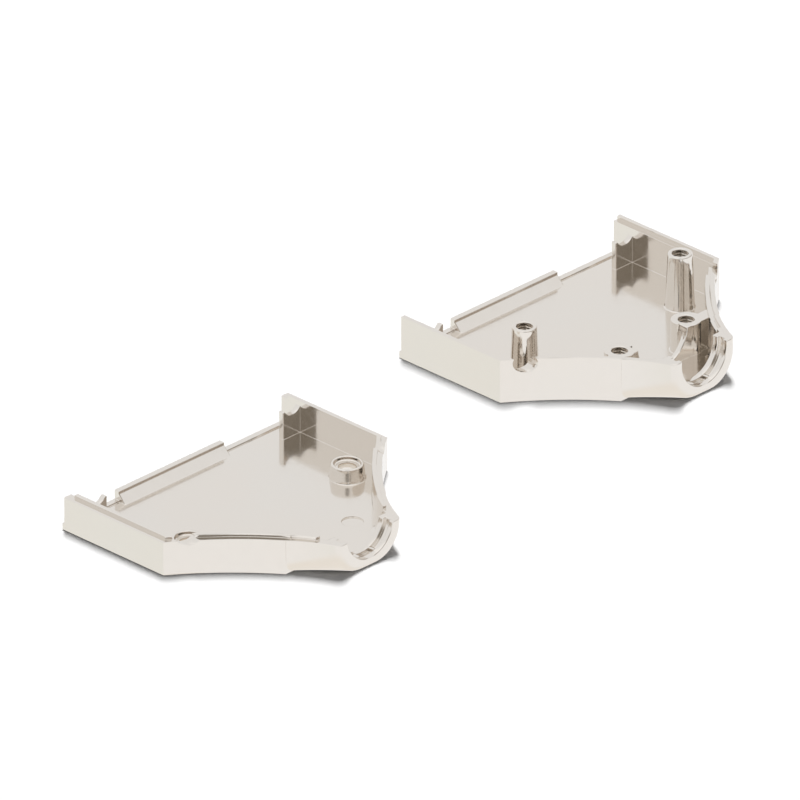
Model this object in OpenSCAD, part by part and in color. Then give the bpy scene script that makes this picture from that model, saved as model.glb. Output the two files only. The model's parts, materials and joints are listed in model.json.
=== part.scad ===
// Straight-exit die-cast hood for a 25-way D-sub connector, laid open.
// Each half is drawn insides up, its outer flat on z = 0, with the connector
// at the front (y = 0) and the cable leaving at the rear.

/* [Hood] */
// Width across the side walls
hood_w = 54; // [53:0.5:60]
// Height with the two halves closed
hood_h = 14.5; // [14:0.1:17]
// Length of the straight side walls
side_l = 23.7; // [22:0.1:28]
// Length of the slanting shoulders, front to rear
shoulder_l = 14.3; // [13:0.1:17]
// Length of the cable neck behind the shoulders
neck_l = 8.2; // [7.5:0.1:12]
// Width of the body where the shoulders end
shoulder_end_w = 24.2; // [23:0.2:28]
// How far the shoulders dip below a straight line
shoulder_dip = 0.8; // [0.3:0.1:1.5]
// Thickness of the walls
wall_t = 1.7; // [1.5:0.05:2.1]
// Thickness of the floor
floor_t = 1; // [0.8:0.05:1.4]
// Space between the two halves as they lie
lying_gap = 31.2; // [10:0.1:60]
// How far one half lies behind the other
lying_stagger = 3.65; // [0:0.05:20]

/* [Parting rim] */
// Height of the outer rim on the half that takes the screws
rim_z = 6.4; // [6.2:0.1:7]
// Height of the tongue above that rim
tongue_h = 0.55; // [0.4:0.05:0.9]
// Thickness of the lip round the tongue
lip_t = 0.85; // [0.7:0.05:1]
// Clearance between tongue and lip
rim_clear = 0.1; // [0.05:0.01:0.2]
// Distance of the tongue behind the front
tongue_start = 1.5; // [1:0.1:3]
// Distance of the tongue's end from the cable exit
tongue_stop = 4.5; // [4:0.1:6]

/* [Cable neck] */
// How far the neck stands back from the shoulders' ends
neck_step = 0.15; // [0.1:0.05:0.4]
// How far the sides of the neck dip below a straight line
neck_dip = 0.3; // [0.1:0.05:0.6]
// Width of the neck at the cable exit
exit_w = 14.6; // [14:0.1:17]
// Corner radius of the neck at the cable exit
exit_corner_r = 5.8; // [3:0.1:6.5]
// Corner radius where the neck leaves the shoulders
root_corner_r = 2.2; // [1:0.1:3]
// Radius of the outer edge round the cable exit
exit_round = 0.8; // [0.4:0.1:0.9]
// Diameter of the gripping rib inside the neck
grip_d = 10.8; // [9:0.1:11.2]
// Thickness of the gripping rib
grip_t = 1.2; // [0.8:0.1:1.6]
// Diameter of the grommet groove
groove_d = 12; // [11.4:0.1:12.4]
// Width of the grommet groove
groove_t = 1.2; // [0.8:0.1:1.6]
// Diameter of the opening at the exit
mouth_d = 11; // [9:0.1:11.3]
// Thickness of the rim round that opening
mouth_t = 1; // [0.8:0.1:1.4]
// Width of the key nubs in the groove
nub_w = 0.8; // [0.5:0.1:1.2]
// Height of the key nubs above the groove
nub_h = 0.9; // [0.5:0.1:1.2]
// Distance between the key nubs
nub_spacing = 4; // [3:0.1:5]

/* [Connector seat] */
// Height of the sill above the floor
sill_step = 0.3; // [0.1:0.05:0.8]
// Thickness of the sill, front to rear
sill_t = 1.2; // [0.9:0.1:1.6]
// How far the sill stands in front of the side walls
sill_reach = 0.45; // [0.2:0.05:0.8]
// Length of the raised rail on the sill
rail_l = 25.4; // [20:0.2:34]
// Offset of the rail from the centre line
rail_offset = 1.8; // [0:0.1:3]
// Height of the rail above the outer flat
rail_h = 3.05; // [2.4:0.05:4]
// Height of the upright part of the rail's rear face, above the ramp that backs it
rail_face_h = 0.5; // [0.3:0.05:0.8]
// Length of that ramp on the floor
rail_ramp_l = 1.5; // [0.8:0.1:2]
// Distance between the two jackscrews
jack_spacing = 47.04; // [46.8:0.02:47.4]
// Diameter of the jackscrew channel through the shoulders
jack_d = 3.4; // [3:0.05:3.5]
// Diameter of the notch for the jackscrew in its saddle
saddle_notch_d = 4.3; // [3.6:0.1:4.4]
// Distance of the jackscrew saddles behind the front
saddle_y = 3.5; // [2.5:0.1:4.5]
// Thickness of a jackscrew saddle
saddle_t = 1.1; // [0.9:0.1:2]
// Height of a jackscrew saddle above the outer flat
saddle_h = 6.15; // [5.6:0.05:6.4]
// How far a saddle reaches inwards from the jackscrew's axis
saddle_reach = 2.3; // [2:0.1:3]

/* [Closing screws] */
// Distance between the two closing screws
screw_spacing = 38.3; // [36:0.1:39]
// Distance of the screws in front of the shoulders
screw_lead = 1.8; // [1:0.1:5]
// Diameter of the clearance hole for the screw
screw_hole_d = 3.2; // [3.1:0.05:3.5]
// Diameter of the countersink for the screw's head
screw_head_d = 5.5; // [4.6:0.1:5.6]
// Diameter of the screw boss at its top
boss_d = 5.7; // [5.6:0.1:6]
// Diameter of the screw boss at its foot
boss_foot_d = 6.5; // [6:0.1:7]
// Height of the screw boss above the outer flat
boss_h = 3.75; // [3:0.05:4.4]
// Depth of the recess in the screw boss
recess_depth = 0.75; // [0.5:0.05:1]
// Diameter of the threaded post at its tip
post_tip_d = 4.3; // [4:0.1:4.6]
// Diameter of the threaded post at its foot
post_foot_d = 5.2; // [4.8:0.1:5.6]
// Clearance round and above the post's tip in its recess
post_clear = 0.2; // [0.1:0.05:0.3]
// Bore of the screw threads before tapping
tap_d = 2.5; // [2.3:0.05:2.7]
// Depth of the tapped bore in a post
post_tap_depth = 8; // [5:0.5:9]
// Width of the chamfer at the mouth of a tapped bore
tap_chamfer = 0.3; // [0.1:0.05:0.4]

/* [Cable clamp seat] */
// Distance between the two clamp screws
clamp_spacing = 16.4; // [15.8:0.1:17]
// Distance of the clamp screws in front of the shoulders' end
clamp_lead = 4.1; // [3.8:0.1:5]
// Outer diameter of a clamp boss
clamp_boss_d = 5.4; // [4.6:0.1:5.8]
// Height of the clamp seat above the outer flat
clamp_seat_h = 6.9; // [6:0.1:7]
// Depth of the tapped bore in a clamp boss
clamp_tap_depth = 5; // [3:0.5:5.5]
// Diameter of the cable saddle between the clamp bosses
saddle_d = 12; // [10:0.1:12.4]
// Thickness of the cable saddle
cable_saddle_t = 1; // [0.8:0.1:1.6]
// Distance of the cable saddle behind the clamp screws
cable_saddle_back = 1.4; // [1:0.1:1.6]
// Diameter of the relief under a clamp screw in the other half
relief_d = 3.8; // [3:0.1:5]
// Depth of that relief
relief_depth = 0.25; // [0.1:0.05:0.4]

/* [Hidden] */
$fn = 96;
// Steps along the lofted neck, and round each of its corners
loft_steps = 12;
corner_steps = 10;
// Steps across the rounded edge of the cable exit
edge_steps = 5;
// Overlap that keeps cuts and joins clear of shared faces
cut = 1;
nickel = [0.85, 0.82, 0.78];

half_w = hood_w / 2;
mid_z = hood_h / 2;
lip_z = hood_h - rim_z;
tongue_z = rim_z + tongue_h;
ledge_z = hood_h - tongue_z - rim_clear;
tongue_inset = lip_t + rim_clear;

end_y = side_l + shoulder_l;
exit_y = end_y + neck_l;
end_hw = shoulder_end_w / 2;
mouth_y = exit_y - mouth_t;
groove_y = mouth_y - groove_t;
grip_y = groove_y - grip_t;

// The shoulder is an arc through its two ends, with its centre outside the hood
shoulder_ends = [[half_w, side_l], [end_hw, end_y]];
shoulder_r = arc_radius(shoulder_ends, shoulder_dip);
shoulder_c = arc_centre(shoulder_ends, shoulder_dip);

sill_h = floor_t + sill_step;
sill_y = sill_t - sill_reach;
rail_x = rail_offset - rail_l / 2;
rail_ramp_h = rail_h - floor_t - rail_face_h;

jack_x = jack_spacing / 2;
screw_x = screw_spacing / 2;
screw_y = side_l - screw_lead;
recess_z = boss_h - recess_depth;
recess_d = post_tip_d + 2 * post_clear;
post_h = hood_h - recess_z - post_clear;
head_depth = (screw_head_d - screw_hole_d) / 2;
clamp_x = clamp_spacing / 2;
clamp_y = end_y - clamp_lead;
cable_saddle_y = clamp_y + cable_saddle_back;

half_mid_y = (exit_y - sill_reach) / 2;
half_pitch = hood_w + lying_gap;

// Radius and centre of the arc through two ends that dips towards the centre line
function arc_radius(ends, dip) = (pow(norm(ends[1] - ends[0]) / 2, 2) + pow(dip, 2)) / (2 * dip);
function arc_outward(ends) = [ends[1].y - ends[0].y, ends[0].x - ends[1].x] / norm(ends[1] - ends[0]);
function arc_centre(ends, dip) = (ends[0] + ends[1]) / 2 + arc_outward(ends) * (arc_radius(ends, dip) - dip);

// Half width of the body where the shoulders end, drawn in from the outer face
function body_end_hw(inset) = shoulder_c.x - sqrt(pow(shoulder_r + inset, 2) - pow(end_y - shoulder_c.y, 2));

// The side of the neck is an arc from just inside there to the cable exit
function neck_ends(inset) = [[body_end_hw(inset) - neck_step, end_y], [exit_w / 2 - inset, exit_y]];
function neck_r(inset) = arc_radius(neck_ends(inset), neck_dip);
function neck_c(inset) = arc_centre(neck_ends(inset), neck_dip);

// Half width and bottom corner radius of the neck at a distance from the front
function neck_hw(y, inset) = neck_c(inset).x - sqrt(pow(neck_r(inset), 2) - pow(y - neck_c(inset).y, 2));
function neck_corner(y, inset) =
    root_corner_r + (exit_corner_r - root_corner_r) * (y - end_y) / neck_l - inset / 2;

// Points of the neck's section: down one side, round both bottom corners and up the other
function neck_section(y, inset, bottom, top) =
    let (r = neck_corner(max(y, end_y), inset), hw = neck_hw(max(y, end_y), inset))
    concat(
        [[-hw, y, top]],
        [for (i = [0:corner_steps]) let (a = 180 + 90 * i / corner_steps)
            [r - hw + r * cos(a), y, bottom + r + r * sin(a)]],
        [for (i = [0:corner_steps]) let (a = 270 + 90 * i / corner_steps)
            [hw - r + r * cos(a), y, bottom + r + r * sin(a)]],
        [[hw, y, top]]
    );

// Both sides of the centre line
module both_sides(x) {
    for (side = [-1, 1]) {
        translate([side * x, 0, 0]) children();
    }
}

// Round bar along the hood, on the parting height, from one distance to another
module bar(d, y_from, y_to) {
    translate([0, y_to, mid_z]) rotate([90, 0, 0]) cylinder(d = d, h = y_to - y_from);
}

// Plan of the body, drawn in from its outer face, from a given front line
module body_plan(inset, front) {
    difference() {
        translate([inset - half_w, front]) square([hood_w - 2 * inset, end_y - front]);
        for (side = [-1, 1]) {
            translate([side * shoulder_c.x, shoulder_c.y]) circle(r = shoulder_r + inset, $fn = 4 * $fn);
        }
    }
}

// Plan of the neck at the parting height, drawn in from its outer face
module neck_plan(inset) {
    root_hw = neck_hw(end_y, inset);
    difference() {
        translate([-root_hw, end_y - cut]) square([2 * root_hw, neck_l + cut]);
        for (side = [-1, 1]) {
            translate([side * neck_c(inset).x, neck_c(inset).y]) circle(r = neck_r(inset), $fn = 4 * $fn);
        }
    }
}

// Plan of the whole hood, drawn in from its outer face
module hood_plan(inset, front) {
    body_plan(inset, front);
    neck_plan(inset);
}

// Neck lofted from inside the body towards the rounder cable exit, its rear edge rounded
module neck_loft(rear, inset, bottom, top, edge_r) {
    straight = rear - edge_r;
    stations = concat([end_y - cut], [for (i = [0:loft_steps]) end_y + (straight - end_y) * i / loft_steps]);
    edge_rings = [
        for (i = [1:edge_steps])
            let (a = 90 * i / edge_steps, back = edge_r * (1 - cos(a)))
            neck_section(straight + edge_r * sin(a), inset + back, bottom + back, top)
    ];
    rings = concat(
        [for (y = stations) neck_section(y, inset, bottom, top)],
        edge_r > 0 ? edge_rings : []
    );
    size = len(rings[0]);
    points = [for (ring = rings) each ring];
    walls = [
        for (i = [0:len(rings) - 2], j = [0:size - 1])
            let (a = i * size + j, b = i * size + (j + 1) % size)
            each [[a, b, b + size], [a, b + size, a + size]]
    ];
    front_cap = [for (j = [size - 1:-1:0]) j];
    rear_cap = [for (j = [0:size - 1]) (len(rings) - 1) * size + j];
    polyhedron(points, concat(walls, [front_cap, rear_cap]));
}

// Outside of one half up to a given height
module half_outside(top) {
    linear_extrude(top) body_plan(0, 0);
    neck_loft(exit_y, 0, 0, top, exit_round);
}

// Hollow of one half, with a gripping rib, a grommet groove and a rim left standing at the exit
module half_hollow() {
    translate([0, 0, floor_t]) linear_extrude(hood_h) body_plan(wall_t, -cut);
    neck_loft(grip_y, wall_t, floor_t, hood_h, 0);
    bar(grip_d, grip_y - cut, groove_y + groove_t / 2);
    bar(groove_d, groove_y, mouth_y);
    bar(mouth_d, groove_y + groove_t / 2, exit_y + cut);
}

// Jackscrew channel through the shoulder walls
module jack_channel() {
    both_sides(jack_x) bar(jack_d, screw_y, end_y);
}

// Sill and rail that hold the connector's flange at the front, the rail backed by a ramp
module flange_sill() {
    sunk = floor_t / 2;
    ramp = [[-sunk, -sunk], [rail_ramp_l, -sunk], [rail_ramp_l, 0], [0, rail_ramp_h], [-sunk, rail_ramp_h]];
    translate([-half_w, -sill_reach, 0]) cube([hood_w, sill_t, sill_h]);
    translate([rail_x, -sill_reach, 0]) cube([rail_l, sill_t, rail_h]);
    translate([rail_x, sill_y, floor_t]) rotate([90, 0, 90]) linear_extrude(rail_l) polygon(ramp);
}

// Ribs behind the flange, each with a saddle for its jackscrew
module jack_saddles() {
    inner_x = jack_x - saddle_reach;
    difference() {
        for (side = [0, 1]) {
            mirror([side, 0, 0])
                translate([inner_x, saddle_y, floor_t / 2])
                    cube([half_w - wall_t / 2 - inner_x, saddle_t, saddle_h - floor_t / 2]);
        }
        both_sides(jack_x) bar(saddle_notch_d, saddle_y - cut, saddle_y + saddle_t + cut);
    }
}

// Key nubs that stop the cable's grommet from turning
module groove_nubs() {
    foot = mid_z - groove_d / 2;
    both_sides(nub_spacing / 2)
        translate([-nub_w / 2, groove_y, foot - floor_t / 2])
            cube([nub_w, groove_t, floor_t / 2 + nub_h]);
}

// Tapped bore with a chamfered mouth, measured down from the top of its boss
module tapped_bore(top, depth) {
    translate([0, 0, top - depth]) cylinder(d = tap_d, h = depth + cut);
    translate([0, 0, top - tap_chamfer])
        cylinder(d1 = tap_d, d2 = tap_d + 2 * tap_chamfer + 2 * cut, h = tap_chamfer + cut);
}

// Clamp bosses, the webs that tie them to the shoulders and the cable saddle between them
module clamp_seat() {
    intersection() {
        difference() {
            union() {
                both_sides(clamp_x) translate([0, clamp_y, 0]) cylinder(d = clamp_boss_d, h = clamp_seat_h);
                translate([-half_w, cable_saddle_y, 0]) cube([hood_w, cable_saddle_t, clamp_seat_h]);
                for (side = [0, 1]) {
                    mirror([side, 0, 0])
                        translate([clamp_x, clamp_y, 0])
                            cube([half_w, cable_saddle_back + cable_saddle_t, clamp_seat_h]);
                }
            }
            bar(saddle_d, cable_saddle_y - cut, cable_saddle_y + cable_saddle_t + cut);
        }
        translate([0, 0, floor_t / 2]) linear_extrude(hood_h) body_plan(wall_t / 2, 0);
    }
}

// What both halves share: the shell, its jackscrew channels, connector seat and nubs
module half_shell(top) {
    difference() {
        half_outside(top);
        half_hollow();
        jack_channel();
    }
    flange_sill();
    jack_saddles();
    groove_nubs();
}

// Half with the tongue, and the bosses that the closing screws pass through
module screw_half() {
    difference() {
        union() {
            half_shell(tongue_z);
            both_sides(screw_x) translate([0, screw_y, 0]) cylinder(d1 = boss_foot_d, d2 = boss_d, h = boss_h);
        }
        translate([0, 0, rim_z]) linear_extrude(hood_h) difference() {
            translate([-hood_w, -hood_w]) square([2 * hood_w, exit_y + 2 * hood_w]);
            intersection() {
                hood_plan(tongue_inset, 0);
                translate([-half_w, tongue_start]) square([hood_w, exit_y - tongue_stop - tongue_start]);
            }
        }
        both_sides(screw_x) translate([0, screw_y, 0]) {
            translate([0, 0, -cut]) cylinder(d = screw_hole_d, h = boss_h + cut);
            translate([0, 0, recess_z]) cylinder(d = recess_d, h = recess_depth + cut);
            translate([0, 0, -cut])
                cylinder(d1 = screw_head_d + 2 * cut, d2 = screw_hole_d, h = head_depth + cut);
        }
        both_sides(clamp_x)
            translate([0, clamp_y, floor_t - relief_depth]) cylinder(d = relief_d, h = relief_depth + cut);
    }
}

// Half with the lip, the threaded posts and the cable clamp's seat
module threaded_half() {
    difference() {
        half_shell(lip_z);
        translate([0, 0, ledge_z]) linear_extrude(hood_h) intersection() {
            hood_plan(lip_t, -cut);
            translate([-half_w, -cut]) square([hood_w, exit_y - tongue_stop + rim_clear + cut]);
        }
    }
    difference() {
        union() {
            both_sides(screw_x)
                translate([0, screw_y, floor_t / 2])
                    cylinder(d1 = post_foot_d, d2 = post_tip_d, h = post_h - floor_t / 2);
            clamp_seat();
        }
        both_sides(screw_x) translate([0, screw_y, 0]) tapped_bore(post_h, post_tap_depth);
        both_sides(clamp_x) translate([0, clamp_y, 0]) tapped_bore(clamp_seat_h, clamp_tap_depth);
    }
}

module screw_half_shell() {
    color(nickel)
        translate([half_pitch / 2, lying_stagger / 2 - half_mid_y, 0]) screw_half();
}

module threaded_half_shell() {
    color(nickel)
        translate([-half_pitch / 2, -lying_stagger / 2 - half_mid_y, 0]) threaded_half();
}

screw_half_shell();
threaded_half_shell();
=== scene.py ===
"""Bright nickel-plated hood of a D-sub connector, its two halves lying open on a white table."""

import json
import math

import bmesh
import bpy
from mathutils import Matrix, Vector
from mathutils.geometry import intersect_point_line

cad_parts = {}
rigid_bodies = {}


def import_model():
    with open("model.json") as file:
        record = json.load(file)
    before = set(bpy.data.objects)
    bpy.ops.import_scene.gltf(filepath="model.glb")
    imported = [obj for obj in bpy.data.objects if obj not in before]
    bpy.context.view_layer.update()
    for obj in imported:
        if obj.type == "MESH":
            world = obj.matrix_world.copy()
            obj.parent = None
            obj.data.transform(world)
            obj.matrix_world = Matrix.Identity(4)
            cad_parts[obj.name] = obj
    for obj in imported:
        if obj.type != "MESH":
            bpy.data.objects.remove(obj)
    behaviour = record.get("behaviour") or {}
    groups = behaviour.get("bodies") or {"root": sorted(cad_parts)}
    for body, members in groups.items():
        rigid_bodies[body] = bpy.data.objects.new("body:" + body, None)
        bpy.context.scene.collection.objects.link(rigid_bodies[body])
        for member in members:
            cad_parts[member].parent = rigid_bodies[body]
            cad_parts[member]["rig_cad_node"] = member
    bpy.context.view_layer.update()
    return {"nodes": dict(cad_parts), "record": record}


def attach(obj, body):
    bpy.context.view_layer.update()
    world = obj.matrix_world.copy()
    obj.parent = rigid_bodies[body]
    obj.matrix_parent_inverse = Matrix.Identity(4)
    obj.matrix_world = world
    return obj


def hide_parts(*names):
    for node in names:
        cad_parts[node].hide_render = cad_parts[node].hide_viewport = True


bl_info = {
    "name": "Connector Hood",
    "version": (1, 0, 0),
    "blender": (4, 5, 0),
    "location": "View3D > Sidebar > Hood",
    "description": "Plates and threads the halves of a cast connector hood and sets them on a white table",
    "category": "Object",
}

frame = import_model()
RECORD = frame["record"]

# One millimetre in Blender's metres
MM = 0.001

# The castings' nodes, the pieces that stand for them, and the body of every piece
HALVES = {"screw_half_shell": "screw_half_casting", "threaded_half_shell": "threaded_half_casting"}
BODY = "root"

# Distance at which vertices are welded, and angles at which faces count as one and edges as sharp
WELD_DISTANCE = 0.002 * MM
FLAT_ANGLE = math.radians(0.4)
SHARP_ANGLE = math.radians(30)

# Reach of a post and of a hole's mouth from a screw's axis, and how closely a bore's wall keeps its radius
POST_REACH = 3.5 * MM
MOUTH_REACH = 1.65 * MM
BORE_TOLERANCE = 0.02 * MM

# Share of the room beside an edge that its rounding may take, and where along the edge that is measured
ROOM_SHARE = 0.4
PROBES = (0.1, 0.5, 0.9)

# Square millimetres under which a turned triangle is let be, how near to one an edge is narrowed, how often
SLIVER_AREA = 0.0002
SPOT_REACH = 0.4 * MM
ROUNDING_TRIES = 8

# Corners of a thread ridge's section
RIDGE_CORNERS = 4

# Sockets of a Mix node that mixes colours
MIX_UNDER = 6
MIX_OVER = 7
MIX_RESULT = 2

# Patterns in the plating
TINT_NOISE = {"Scale": 45.0, "Detail": 2.0}
HAZE_NOISE = {"Scale": 700.0, "Detail": 3.0}
WAVE_NOISE = {"Scale": 160.0, "Detail": 1.0}
HAZE_RANGE = (0.3, 0.7)
HAZE_SPREAD = 0.3

# Angles from a direction, in degrees, at which a part of the room's light begins and is full
TOP_SPAN = (45, 15)
SIDE_SPAN = (75, 40)
SIDE_TOP_SPAN = (61, 55)
HOLE_SPAN = (20, 11)
HORIZON_SPAN = (90, 87)
LEFT_SPAN = (75, 35)
UNDER_SPAN = (60, 25)

# How far the darker side leans towards the camera
SIDE_LEAN = 0.3

# What the camera sees past the table, and the table's width in metres
WHITE = (1.0, 1.0, 1.0)
TABLE_SIZE = 40.0


class HoodPlating(bpy.types.PropertyGroup):
    """Finish of the two castings"""

    edge_round: bpy.props.FloatProperty(
        name="Edge round", description="Width of the rounding on outer edges",
        default=0.25 * MM, unit="LENGTH"
    )
    foot_round: bpy.props.FloatProperty(
        name="Foot round", description="Width of the rounding at the feet of posts",
        default=0.3 * MM, unit="LENGTH"
    )
    tip_round: bpy.props.FloatProperty(
        name="Tip round", description="Width of the rounding at the tips of posts",
        default=0.35 * MM, unit="LENGTH"
    )
    mouth_round: bpy.props.FloatProperty(
        name="Mouth round", description="Width of the rounding at the mouths of holes",
        default=0.06 * MM, unit="LENGTH"
    )
    crease_round: bpy.props.FloatProperty(
        name="Crease round", description="Width of the rounding in other inner corners",
        default=0.09 * MM, unit="LENGTH"
    )
    edge_segments: bpy.props.IntProperty(
        name="Edge segments", description="Faces across each rounded edge", default=3, min=1, max=6
    )
    colour: bpy.props.FloatVectorProperty(
        name="Nickel", description="Colour of the plating",
        default=(0.83, 0.775, 0.715), size=3, subtype="COLOR"
    )
    tint: bpy.props.FloatVectorProperty(
        name="Cool tint", description="Cooler shade in the plating",
        default=(0.815, 0.785, 0.745), size=3, subtype="COLOR"
    )
    roughness: bpy.props.FloatProperty(
        name="Roughness", description="Haze of the plating",
        default=0.13, min=0.0, max=1.0, subtype="FACTOR"
    )
    ripple: bpy.props.FloatProperty(
        name="Ripple", description="Height of the waves left by casting",
        default=0.012 * MM, unit="LENGTH"
    )


class HoodThread(bpy.types.PropertyGroup):
    """Screw threads in the posts and clamp bosses"""

    pitch: bpy.props.FloatProperty(
        name="Pitch", description="Distance from one turn to the next", default=0.5 * MM, unit="LENGTH"
    )
    depth: bpy.props.FloatProperty(
        name="Depth", description="Depth of the thread in the wall", default=0.16 * MM, unit="LENGTH"
    )
    root: bpy.props.FloatProperty(
        name="Root", description="Share of the pitch that the ridge takes at its root",
        default=0.92, min=0.1, max=1.0, subtype="FACTOR"
    )
    crest: bpy.props.FloatProperty(
        name="Crest", description="Share of that width that is left at the crest",
        default=0.2, min=0.0, max=1.0, subtype="FACTOR"
    )
    sink: bpy.props.FloatProperty(
        name="Sink", description="Share of its depth by which the ridge is sunk in the wall",
        default=0.1, min=0.0, max=1.0, subtype="FACTOR"
    )
    steps: bpy.props.IntProperty(
        name="Steps", description="Faces round each turn", default=32, min=12, max=64
    )


class HoodStage(bpy.types.PropertyGroup):
    """Table, light and camera"""

    azimuth: bpy.props.FloatProperty(
        name="Azimuth", description="Direction of the camera round the hood",
        default=math.radians(134.385), subtype="ANGLE"
    )
    elevation: bpy.props.FloatProperty(
        name="Elevation", description="Height of the camera above the horizon",
        default=math.radians(27.389), subtype="ANGLE"
    )
    distance: bpy.props.FloatProperty(
        name="Distance", description="Distance of the camera", default=5.0, unit="LENGTH"
    )
    view_width: bpy.props.FloatProperty(
        name="View width", description="Width of the picture at the table",
        default=136.53 * MM, unit="LENGTH"
    )
    aim: bpy.props.FloatVectorProperty(
        name="Aim", description="Point on the table at the picture's centre",
        default=(-4.46 * MM, -13.96 * MM, 0.0), size=3, subtype="XYZ"
    )
    floor: bpy.props.FloatVectorProperty(
        name="Floor", description="Colour of the table",
        default=(0.9, 0.9, 0.9), size=3, subtype="COLOR"
    )
    tent: bpy.props.FloatVectorProperty(
        name="Tent", description="Light from the sides of the tent",
        default=(0.88, 0.88, 0.88), size=3, subtype="COLOR"
    )
    tent_top: bpy.props.FloatVectorProperty(
        name="Tent top", description="Light from the top of the tent",
        default=(1.05, 1.05, 1.05), size=3, subtype="COLOR"
    )
    tent_side: bpy.props.FloatVectorProperty(
        name="Tent side", description="Light from the darker side",
        default=(0.42, 0.37, 0.32), size=3, subtype="COLOR"
    )
    tent_hole: bpy.props.FloatVectorProperty(
        name="Tent hole", description="Light from the camera's hole",
        default=(0.28, 0.265, 0.24), size=3, subtype="COLOR"
    )
    table_light: bpy.props.FloatVectorProperty(
        name="Table light", description="Light that the metal sees from the table",
        default=(1.0, 1.0, 1.0), size=3, subtype="COLOR"
    )
    table_left: bpy.props.FloatVectorProperty(
        name="Table left", description="Light that the metal sees from the table's left",
        default=(0.93, 0.94, 0.91), size=3, subtype="COLOR"
    )
    table_under: bpy.props.FloatVectorProperty(
        name="Table under", description="Light that the metal sees from straight under the hood",
        default=(0.965, 0.935, 0.885), size=3, subtype="COLOR"
    )
    ambient: bpy.props.FloatVectorProperty(
        name="Ambient", description="Light that fills the shadows",
        default=(0.16, 0.16, 0.16), size=3, subtype="COLOR"
    )
    key_power: bpy.props.FloatProperty(
        name="Key", description="Power of the overhead lamp", default=94.5, unit="POWER"
    )
    key_distance: bpy.props.FloatProperty(
        name="Key distance", description="Distance of the overhead lamp", default=3.0, unit="LENGTH"
    )
    key_height: bpy.props.FloatProperty(
        name="Key height", description="Elevation of the overhead lamp",
        default=math.radians(77.5), subtype="ANGLE"
    )
    key_width: bpy.props.FloatProperty(
        name="Key width", description="Width of the overhead lamp", default=0.45, unit="LENGTH"
    )
    key_depth: bpy.props.FloatProperty(
        name="Key depth", description="Depth of the overhead lamp", default=1.35, unit="LENGTH"
    )


def deselect():
    """Leave object mode with nothing selected."""
    if bpy.context.mode != "OBJECT":
        bpy.ops.object.mode_set(mode="OBJECT")
    bpy.ops.object.select_all(action="DESELECT")


def make_active(piece):
    """Select one piece alone."""
    deselect()
    piece.select_set(True)
    bpy.context.view_layer.objects.active = piece


def resize(piece, factor):
    """Scale a piece about the origin and keep its own scale at one."""
    make_active(piece)
    piece.scale = (factor, factor, factor)
    bpy.ops.object.transform_apply(location=False, rotation=False, scale=True)


def copy_of_node(node_name, piece_name):
    """Copy of a casting, welded into one skin of flat faces."""
    make_active(frame["nodes"][node_name])
    bpy.ops.object.duplicate()
    piece = bpy.context.view_layer.objects.active
    piece.name = piece_name
    piece.data.name = piece_name
    del piece["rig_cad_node"]
    bpy.ops.mesh.customdata_custom_splitnormals_clear()
    bpy.ops.object.mode_set(mode="EDIT")
    bpy.ops.mesh.select_all(action="SELECT")
    bpy.ops.mesh.remove_doubles(threshold=WELD_DISTANCE)
    bpy.ops.mesh.dissolve_limited(angle_limit=FLAT_ANGLE)
    bpy.ops.object.mode_set(mode="OBJECT")
    return piece


def room_across(edge):
    """Shortest way from an edge, square to it, over its two faces to their far sides."""
    room = math.inf
    for loop in edge.link_loops:
        start, end = loop.vert.co, loop.link_loop_next.vert.co
        along = (end - start).normalized()
        inward = loop.face.normal.cross(along)
        far_sides = [e for e in loop.face.edges if not set(e.verts) & set(edge.verts)]
        for share in PROBES:
            probe = start.lerp(end, share)
            for side in far_sides:
                p, q = (vert.co - probe for vert in side.verts)
                before, after = p.dot(along), q.dot(along)
                if before * after < 0:
                    reach = p.lerp(q, before / (before - after)).dot(inward)
                    if reach > 0:
                        room = min(room, reach)
    return room


def corners_of(edge):
    """Edges that meet an edge in one of its faces, each with the angle between the two."""
    for vert in edge.verts:
        along = edge.other_vert(vert).co - vert.co
        for other in vert.link_edges:
            if other != edge and set(other.link_faces) & set(edge.link_faces):
                yield other, along.angle(other.other_vert(vert).co - vert.co)


def room_at_ends(edge, sharp):
    """Width at which a rounding would use up one of the edges that it meets."""
    room = math.inf
    for other, angle in corners_of(edge):
        if angle > math.pi - SHARP_ANGLE:
            continue
        if other in sharp:
            room = min(room, min(edge.calc_length(), other.calc_length()) * math.tan(angle / 2))
        else:
            room = min(room, other.calc_length() * math.sin(angle))
    return room


def even_out(limits):
    """Widths within the limits, brought together where edges run on into each other."""
    widths = dict(limits)
    pairs = []
    for edge in widths:
        for other, angle in corners_of(edge):
            if other in widths:
                slack = ROOM_SHARE * abs(math.sin(angle)) * min(edge.calc_length(), other.calc_length())
                pairs.append((edge, other, slack))
    moved = True
    while moved:
        moved = False
        for edge, other, slack in pairs:
            if widths[edge] > widths[other] + slack + WELD_DISTANCE:
                widths[edge] = widths[other] + slack
                moved = True
    return widths


def axis_distance(edge):
    """Distance of an edge from the nearest screw's axis."""
    middle = (edge.verts[0].co + edge.verts[1].co).to_2d() / 2
    screws = [m for m in RECORD["mounts"] if m["kind"] in ("bore", "threaded_hole")]
    return min((middle - Vector(m["pos_m"]).to_2d()).length for m in screws)


def wanted_width(edge, settings):
    """Rounding that an edge would have if nothing stood in its way."""
    reach = axis_distance(edge)
    if edge.calc_face_angle_signed() < 0:
        return settings.foot_round if reach < POST_REACH else settings.crease_round
    if reach < MOUTH_REACH:
        return settings.mouth_round
    return settings.tip_round if reach < POST_REACH else settings.edge_round


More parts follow.
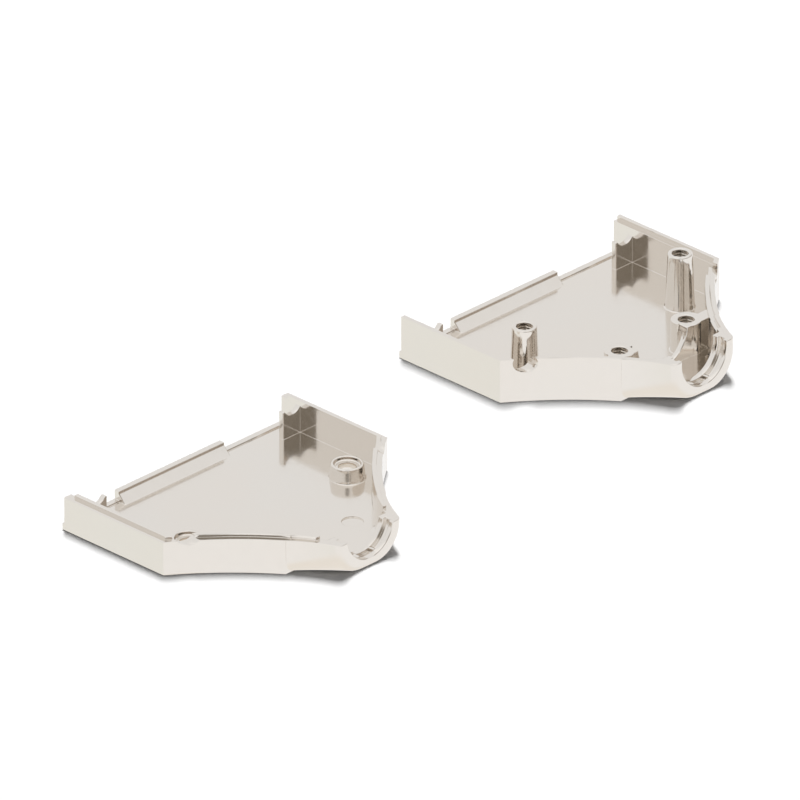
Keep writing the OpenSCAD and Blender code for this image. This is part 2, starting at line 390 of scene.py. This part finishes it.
def edge_limits(mesh, settings):
    """Widest rounding that each sharp edge has room for."""
    joined = [e for e in mesh.edges if e.is_manifold]
    sharp = dict.fromkeys(e for e in joined if abs(e.calc_face_angle_signed()) > SHARP_ANGLE)
    limits = {}
    for edge in sharp:
        room = min(room_across(edge), room_at_ends(edge, sharp))
        limits[edge] = min(wanted_width(edge, settings), ROOM_SHARE * room)
    return limits


def turned_spots(piece):
    """Corners of the triangles that turn away from the face that they are part of."""
    shaped = piece.evaluated_get(bpy.context.evaluated_depsgraph_get())
    mesh = shaped.to_mesh()
    mesh.calc_loop_triangles()
    spots = []
    for triangle in mesh.loop_triangles:
        face = mesh.polygons[triangle.polygon_index]
        if triangle.area > SLIVER_AREA and triangle.normal.dot(face.normal) < math.cos(SHARP_ANGLE):
            spots += [mesh.vertices[i].co * MM for i in triangle.vertices]
    shaped.to_mesh_clear()
    return spots


def passes_by(edge, spots):
    """Whether an edge comes close to any of the spots."""
    start, end = (vert.co for vert in edge.verts)
    for spot in spots:
        share = intersect_point_line(spot, start, end)[1]
        nearest = start.lerp(end, min(max(share, 0.0), 1.0))
        if (spot - nearest).length < SPOT_REACH:
            return True
    return False


def round_edges(piece, settings):
    """Round the edges and inner corners, less where faces would turn over, and keep the flat faces flat."""
    mesh = bmesh.new()
    mesh.from_mesh(piece.data)
    mesh.edges.index_update()
    limits = edge_limits(mesh, settings)
    widest = max(limits.values())
    resize(piece, 1 / MM)
    weights = piece.data.attributes.new("bevel_weight_edge", "FLOAT", "EDGE")
    bevel = piece.modifiers.new("Edge round", "BEVEL")
    bevel.limit_method = "WEIGHT"
    bevel.width = widest / MM
    bevel.segments = settings.edge_segments
    bevel.use_clamp_overlap = False
    bevel.miter_outer = "MITER_ARC"
    for _ in range(ROUNDING_TRIES):
        widths = even_out(limits)
        for edge, width in widths.items():
            weights.data[edge.index].value = width / widest
        piece.data.update()
        spots = turned_spots(piece)
        if not spots:
            break
        limits = {e: width / 2 if passes_by(e, spots) else limits[e] for e, width in widths.items()}
    mesh.free()
    bpy.ops.object.modifier_apply(modifier=bevel.name)
    resize(piece, MM)
    bpy.ops.object.shade_smooth_by_angle(angle=SHARP_ANGLE)
    even = piece.modifiers.new("Even shading", "WEIGHTED_NORMAL")
    even.keep_sharp = True
    bpy.ops.object.modifier_apply(modifier=even.name)


def nickel_material(settings):
    """Bright nickel over a casting: slow ripples, fine haze and a faint change of tint."""
    material = bpy.data.materials.new("bright_nickel")
    material.use_nodes = True
    nodes, links = material.node_tree.nodes, material.node_tree.links
    shader = nodes["Principled BSDF"]
    shader.inputs["Metallic"].default_value = 1.0
    place = nodes.new("ShaderNodeTexCoord")

    def noise(pattern):
        """Cloudy texture on the object's own coordinates."""
        texture = nodes.new("ShaderNodeTexNoise")
        for socket, value in pattern.items():
            texture.inputs[socket].default_value = value
        links.new(place.outputs["Object"], texture.inputs["Vector"])
        return texture.outputs["Fac"]

    mix = nodes.new("ShaderNodeMix")
    mix.data_type = "RGBA"
    mix.inputs[MIX_UNDER].default_value = (*settings.colour, 1.0)
    mix.inputs[MIX_OVER].default_value = (*settings.tint, 1.0)
    links.new(noise(TINT_NOISE), mix.inputs["Factor"])
    links.new(mix.outputs[MIX_RESULT], shader.inputs["Base Color"])

    haze = nodes.new("ShaderNodeMapRange")
    haze.inputs["From Min"].default_value, haze.inputs["From Max"].default_value = HAZE_RANGE
    haze.inputs["To Min"].default_value = settings.roughness * (1 - HAZE_SPREAD)
    haze.inputs["To Max"].default_value = settings.roughness * (1 + HAZE_SPREAD)
    links.new(noise(HAZE_NOISE), haze.inputs["Value"])
    links.new(haze.outputs["Result"], shader.inputs["Roughness"])

    waves = nodes.new("ShaderNodeBump")
    waves.inputs["Distance"].default_value = settings.ripple
    links.new(noise(WAVE_NOISE), waves.inputs["Height"])
    links.new(waves.outputs["Normal"], shader.inputs["Normal"])
    return material


def plating():
    """The one plating that every piece shares."""
    return bpy.data.materials.get("bright_nickel") or nickel_material(bpy.context.scene.hood_plating)


def dress(piece):
    """Plate a finished piece and let it lie with the hood."""
    piece.data.materials.clear()
    piece.data.materials.append(plating())
    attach(piece, BODY)


def thread_mounts():
    """The tapped holes that the record names."""
    return [m for m in RECORD["mounts"] if m["kind"] == "threaded_hole"]


def bore_verts(mesh, mount):
    """Vertices on the wall of a tapped bore."""
    axis = Vector(mount["pos_m"]).to_2d()
    radius = mount["dims"]["r_mm"] * MM
    return [v.index for v in mesh.vertices if abs((v.co.to_2d() - axis).length - radius) < BORE_TOLERANCE]


def bore_span(mount):
    """Heights of the bottom and the mouth of a tapped bore."""
    for node_name in HALVES:
        casting = frame["nodes"][node_name].data
        heights = [casting.vertices[i].co.z for i in bore_verts(casting, mount)]
        if heights:
            return min(heights), max(heights)
    raise RuntimeError("no bore found for " + mount["name"])


def open_bore(piece, mount, wall, depth):
    """Widen the wall of a tapped bore to the bottom of its thread."""
    make_active(piece)
    bpy.ops.object.mode_set(mode="EDIT")
    bpy.ops.mesh.select_all(action="DESELECT")
    bpy.ops.object.mode_set(mode="OBJECT")
    for i in wall:
        piece.data.vertices[i].select = True
    grow = 1 + depth / (mount["dims"]["r_mm"] * MM)
    bpy.ops.object.mode_set(mode="EDIT")
    bpy.ops.mesh.select_mode(type="VERT")
    bpy.ops.transform.resize(value=(grow, grow, 1.0), center_override=mount["pos_m"])
    bpy.ops.object.mode_set(mode="OBJECT")


def wind_thread(mount, settings):
    """Helical ridge that stands in a widened bore, its crest at the tapping size."""
    crest = mount["dims"]["r_mm"] * MM
    low, high = bore_span(mount)
    pitch = settings.pitch
    depth = settings.depth * (1 + settings.sink)
    deselect()
    bpy.ops.mesh.primitive_plane_add(size=1.0, location=(0, 0, 0), rotation=(math.pi / 2, 0, 0))
    ridge = bpy.context.object
    ridge.name = mount["name"]
    ridge.data.name = mount["name"]
    ridge.scale = (depth, pitch * settings.root, 1.0)
    ridge.location = (crest + depth / 2, 0, low + pitch / 2)
    bpy.ops.object.transform_apply(location=True, rotation=True, scale=True)
    for vert in ridge.data.vertices:
        vert.select = vert.co.x < crest + depth / 2
    bpy.ops.object.mode_set(mode="EDIT")
    bpy.ops.mesh.select_mode(type="VERT")
    bpy.ops.transform.resize(value=(1.0, 1.0, settings.crest), center_override=(crest, 0, low + pitch / 2))
    bpy.ops.mesh.select_all(action="SELECT")
    bpy.ops.mesh.delete(type="ONLY_FACE")
    bpy.ops.object.mode_set(mode="OBJECT")
    screw = ridge.modifiers.new("Thread", "SCREW")
    screw.screw_offset = pitch
    screw.iterations = max(1, int((high - low) / pitch) - 1)
    screw.steps = settings.steps
    screw.render_steps = settings.steps
    bpy.ops.object.modifier_apply(modifier=screw.name)
    bpy.ops.object.mode_set(mode="EDIT")
    bpy.ops.mesh.select_all(action="SELECT")
    bpy.ops.mesh.fill_holes(sides=RIDGE_CORNERS)
    bpy.ops.mesh.select_all(action="SELECT")
    bpy.ops.mesh.normals_make_consistent(inside=False)
    bpy.ops.object.mode_set(mode="OBJECT")
    ridge.location = (mount["pos_m"][0], mount["pos_m"][1], 0)
    bpy.ops.object.transform_apply(location=True)
    bpy.ops.object.shade_smooth_by_angle(angle=SHARP_ANGLE)
    return ridge


class HOOD_OT_half_shells(bpy.types.Operator):
    """Round and plate the two cast half shells"""

    bl_idname = "hood.half_shells"
    bl_label = "Half Shells"

    def execute(self, context):
        settings = context.scene.hood_plating
        depth = context.scene.hood_thread.depth
        for node_name, piece_name in HALVES.items():
            piece = copy_of_node(node_name, piece_name)
            for mount in thread_mounts():
                wall = bore_verts(piece.data, mount)
                if wall:
                    open_bore(piece, mount, wall, depth)
            round_edges(piece, settings)
            dress(piece)
            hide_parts(node_name)
        return {"FINISHED"}


class HOOD_OT_threads(bpy.types.Operator):
    """Wind the screw threads in the posts and clamp bosses"""

    bl_idname = "hood.threads"
    bl_label = "Screw Threads"

    def execute(self, context):
        for mount in thread_mounts():
            dress(wind_thread(mount, context.scene.hood_thread))
        return {"FINISHED"}


def camera_axes(stage):
    """Unit vectors from the aim towards the camera, and flat along the table away from it."""
    azimuth, elevation = stage.azimuth, stage.elevation
    level = math.cos(elevation)
    back = Vector((math.sin(azimuth) * level, -math.cos(azimuth) * level, math.sin(elevation)))
    away = Vector((-math.sin(azimuth), math.cos(azimuth), 0.0))
    return back, away


def floor_material(stage):
    """White table that keeps the hood's shadow; the bright metal sees the tent's own light in its place."""
    material = bpy.data.materials.new("white_table")
    material.use_nodes = True
    nodes, links = material.node_tree.nodes, material.node_tree.links
    nodes.remove(nodes["Principled BSDF"])
    matt = nodes.new("ShaderNodeBsdfDiffuse")
    matt.inputs["Color"].default_value = (*stage.floor, 1.0)
    clear = nodes.new("ShaderNodeBsdfTransparent")
    path = nodes.new("ShaderNodeLightPath")
    either = nodes.new("ShaderNodeMixShader")
    mirrored = nodes.new("ShaderNodeMath")
    mirrored.operation = "SUBTRACT"
    mirrored.use_clamp = True
    links.new(path.outputs["Is Glossy Ray"], mirrored.inputs[0])
    links.new(path.outputs["Diffuse Depth"], mirrored.inputs[1])
    links.new(mirrored.outputs[0], either.inputs["Fac"])
    links.new(matt.outputs[0], either.inputs[1])
    links.new(clear.outputs[0], either.inputs[2])
    links.new(either.outputs[0], nodes["Material Output"].inputs["Surface"])
    return material


def studio_world(stage):
    """White tent with a hole for the camera and a browner side, which the bright metal reflects."""
    world = bpy.data.worlds.new("white_tent")
    bpy.context.scene.world = world
    world.use_nodes = True
    nodes, links = world.node_tree.nodes, world.node_tree.links
    back, away = camera_axes(stage)
    up = Vector((0, 0, 1))
    right = away.cross(up)
    place = nodes.new("ShaderNodeTexCoord")

    def facing(direction, span):
        """Rises from 0 to 1 as a ray turns towards a direction, between two angles from it."""
        dot = nodes.new("ShaderNodeVectorMath")
        dot.operation = "DOT_PRODUCT"
        dot.inputs[1].default_value = direction.normalized()
        links.new(place.outputs["Generated"], dot.inputs[0])
        rise = nodes.new("ShaderNodeMapRange")
        rise.interpolation_type = "SMOOTHSTEP"
        for socket, angle in zip(("From Min", "From Max"), span):
            rise.inputs[socket].default_value = math.cos(math.radians(angle))
        links.new(dot.outputs["Value"], rise.inputs["Value"])
        return rise.outputs["Result"]

    def blend(share, under, over):
        """Mix of two colours, each a socket or a constant."""
        mix = nodes.new("ShaderNodeMix")
        mix.data_type = "RGBA"
        links.new(share, mix.inputs["Factor"])
        for socket, colour in ((mix.inputs[MIX_UNDER], under), (mix.inputs[MIX_OVER], over)):
            if isinstance(colour, bpy.types.NodeSocket):
                links.new(colour, socket)
            else:
                socket.default_value = (*colour, 1.0)
        return mix.outputs[MIX_RESULT]

    low_side = nodes.new("ShaderNodeMath")
    low_side.operation = "SUBTRACT"
    low_side.use_clamp = True
    links.new(facing(right + back * SIDE_LEAN, SIDE_SPAN), low_side.inputs[0])
    links.new(facing(up, SIDE_TOP_SPAN), low_side.inputs[1])
    tent = blend(facing(up, TOP_SPAN), stage.tent, stage.tent_top)
    tent = blend(low_side.outputs[0], tent, stage.tent_side)
    tent = blend(facing(back, HOLE_SPAN), tent, stage.tent_hole)
    table = blend(facing(-right, LEFT_SPAN), stage.table_light, stage.table_left)
    table = blend(facing(-up, UNDER_SPAN), table, stage.table_under)
    room = blend(facing(-up, HORIZON_SPAN), tent, table)
    path = nodes.new("ShaderNodeLightPath")
    room = blend(path.outputs["Diffuse Depth"], room, stage.ambient)
    room = blend(path.outputs["Is Camera Ray"], room, WHITE)
    links.new(room, nodes["Background"].inputs["Color"])


class HOOD_OT_stage(bpy.types.Operator):
    """Set up the white table, the lamp, the room and the camera"""

    bl_idname = "hood.stage"
    bl_label = "Stage"

    def execute(self, context):
        stage = context.scene.hood_stage
        back, away = camera_axes(stage)
        deselect()
        bpy.ops.mesh.primitive_plane_add(size=TABLE_SIZE, location=(0, 0, 0))
        table = context.object
        table.name = "table"
        table.data.materials.append(floor_material(stage))
        aim = Vector(stage.aim)
        towards = away * math.cos(stage.key_height) + Vector((0, 0, math.sin(stage.key_height)))
        bpy.ops.object.light_add(type="AREA", location=aim + towards * stage.key_distance)
        lamp = context.object
        lamp.name = "overhead_lamp"
        lamp.rotation_euler = towards.to_track_quat("Z", "Y").to_euler()
        lamp.data.energy = stage.key_power
        lamp.data.shape = "RECTANGLE"
        lamp.data.size = stage.key_width
        lamp.data.size_y = stage.key_depth
        lamp.visible_glossy = False
        studio_world(stage)
        bpy.ops.object.camera_add(location=aim + back * stage.distance)
        camera = context.object
        camera.rotation_euler = back.to_track_quat("Z", "Y").to_euler()
        camera.data.lens = camera.data.sensor_width * stage.distance / stage.view_width
        camera.data.clip_end = stage.distance + TABLE_SIZE
        context.scene.camera = camera
        context.scene.view_settings.view_transform = "Standard"
        return {"FINISHED"}


class HOOD_PT_panel(bpy.types.Panel):
    """Makes the hood and its stage"""

    bl_label = "Connector Hood"
    bl_idname = "HOOD_PT_panel"
    bl_space_type = "VIEW_3D"
    bl_region_type = "UI"
    bl_category = "Hood"

    def draw(self, context):
        for operator in OPERATORS:
            self.layout.operator(operator.bl_idname)


SETTINGS = {"hood_plating": HoodPlating, "hood_thread": HoodThread, "hood_stage": HoodStage}
OPERATORS = (HOOD_OT_half_shells, HOOD_OT_threads, HOOD_OT_stage)


def register():
    """Add the settings, operators and panel to Blender."""
    for name, group in SETTINGS.items():
        bpy.utils.register_class(group)
        setattr(bpy.types.Scene, name, bpy.props.PointerProperty(type=group))
    for cls in (*OPERATORS, HOOD_PT_panel):
        bpy.utils.register_class(cls)


def unregister():
    """Take them out again."""
    for cls in (HOOD_PT_panel, *reversed(OPERATORS)):
        bpy.utils.unregister_class(cls)
    for name, group in reversed(SETTINGS.items()):
        delattr(bpy.types.Scene, name)
        bpy.utils.unregister_class(group)


def main():
    """Make the hood and its stage."""
    register()
    bpy.ops.hood.half_shells()
    bpy.ops.hood.threads()
    bpy.ops.hood.stage()


if __name__ == "__main__":
    main()
